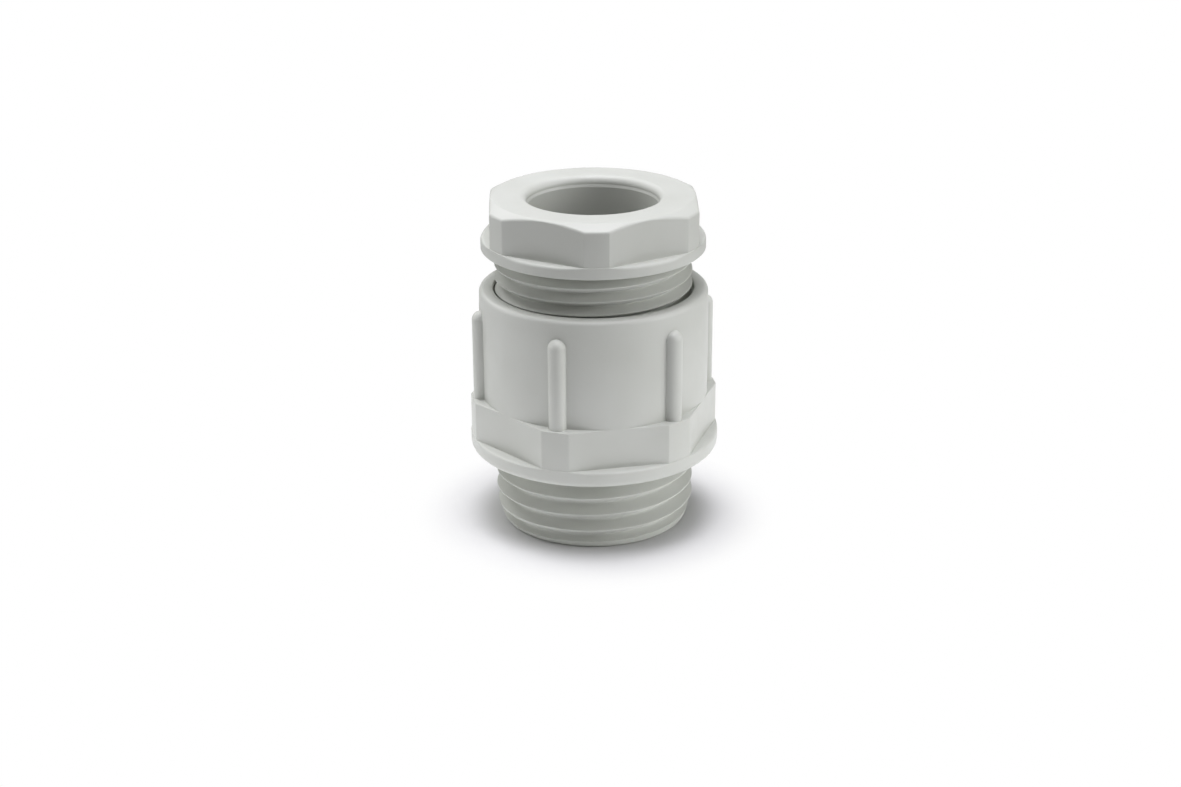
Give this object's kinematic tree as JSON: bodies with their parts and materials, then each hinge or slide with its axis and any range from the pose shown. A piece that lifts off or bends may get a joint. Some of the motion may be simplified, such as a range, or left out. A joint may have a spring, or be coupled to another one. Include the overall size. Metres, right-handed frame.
{
  "type": "cable gland",
  "caption": "Moulded plastic cable gland: threaded entry body, hexagon pressure screw with slip ring, nested rubber seal rings and a support washer.",
  "frame": {"origin": "on the gland's axis, at the flat end of the entry thread, which is the lowest face", "axes": "+Z along the axis, from the entry thread towards the screw head; +X through a corner of the body's hexagon"},
  "size_m": [0.0262, 0.0262, 0.0355],
  "materials": {
    "grey_plastic": "moulded, satin",
    "natural_plastic": "moulded, satin",
    "seal_rubber": "matte"
  },
  "bodies": {
    "gland_body": {"gland_body": "grey_plastic", "seal_outer_ring": "seal_rubber", "seal_inner_ring": "seal_rubber", "support_washer": "natural_plastic"},
    "thrust_ring": {"thrust_ring": "natural_plastic"},
    "pressure_screw": {"pressure_screw": "grey_plastic"}
  },
  "joints": [
    {"name": "thrust_ring_slide", "type": "slide", "parent": "gland_body", "child": "thrust_ring", "axis": [0, 0, 1], "range_m": [-0.00403, 0.00396], "deforming": ["seal_outer_ring", "seal_inner_ring"]},
    {"name": "pressure_screw_turn", "type": "hinge", "parent": "thrust_ring", "child": "pressure_screw", "pos_m": [0, 0, 0.0302], "axis": [0, 0, 1], "range_deg": [-1026, 1008]}
  ],
  "couplings": [
    {"joint": "thrust_ring_slide", "follows": "pressure_screw_turn", "m_per_rad": 0.00022457}
  ]
}
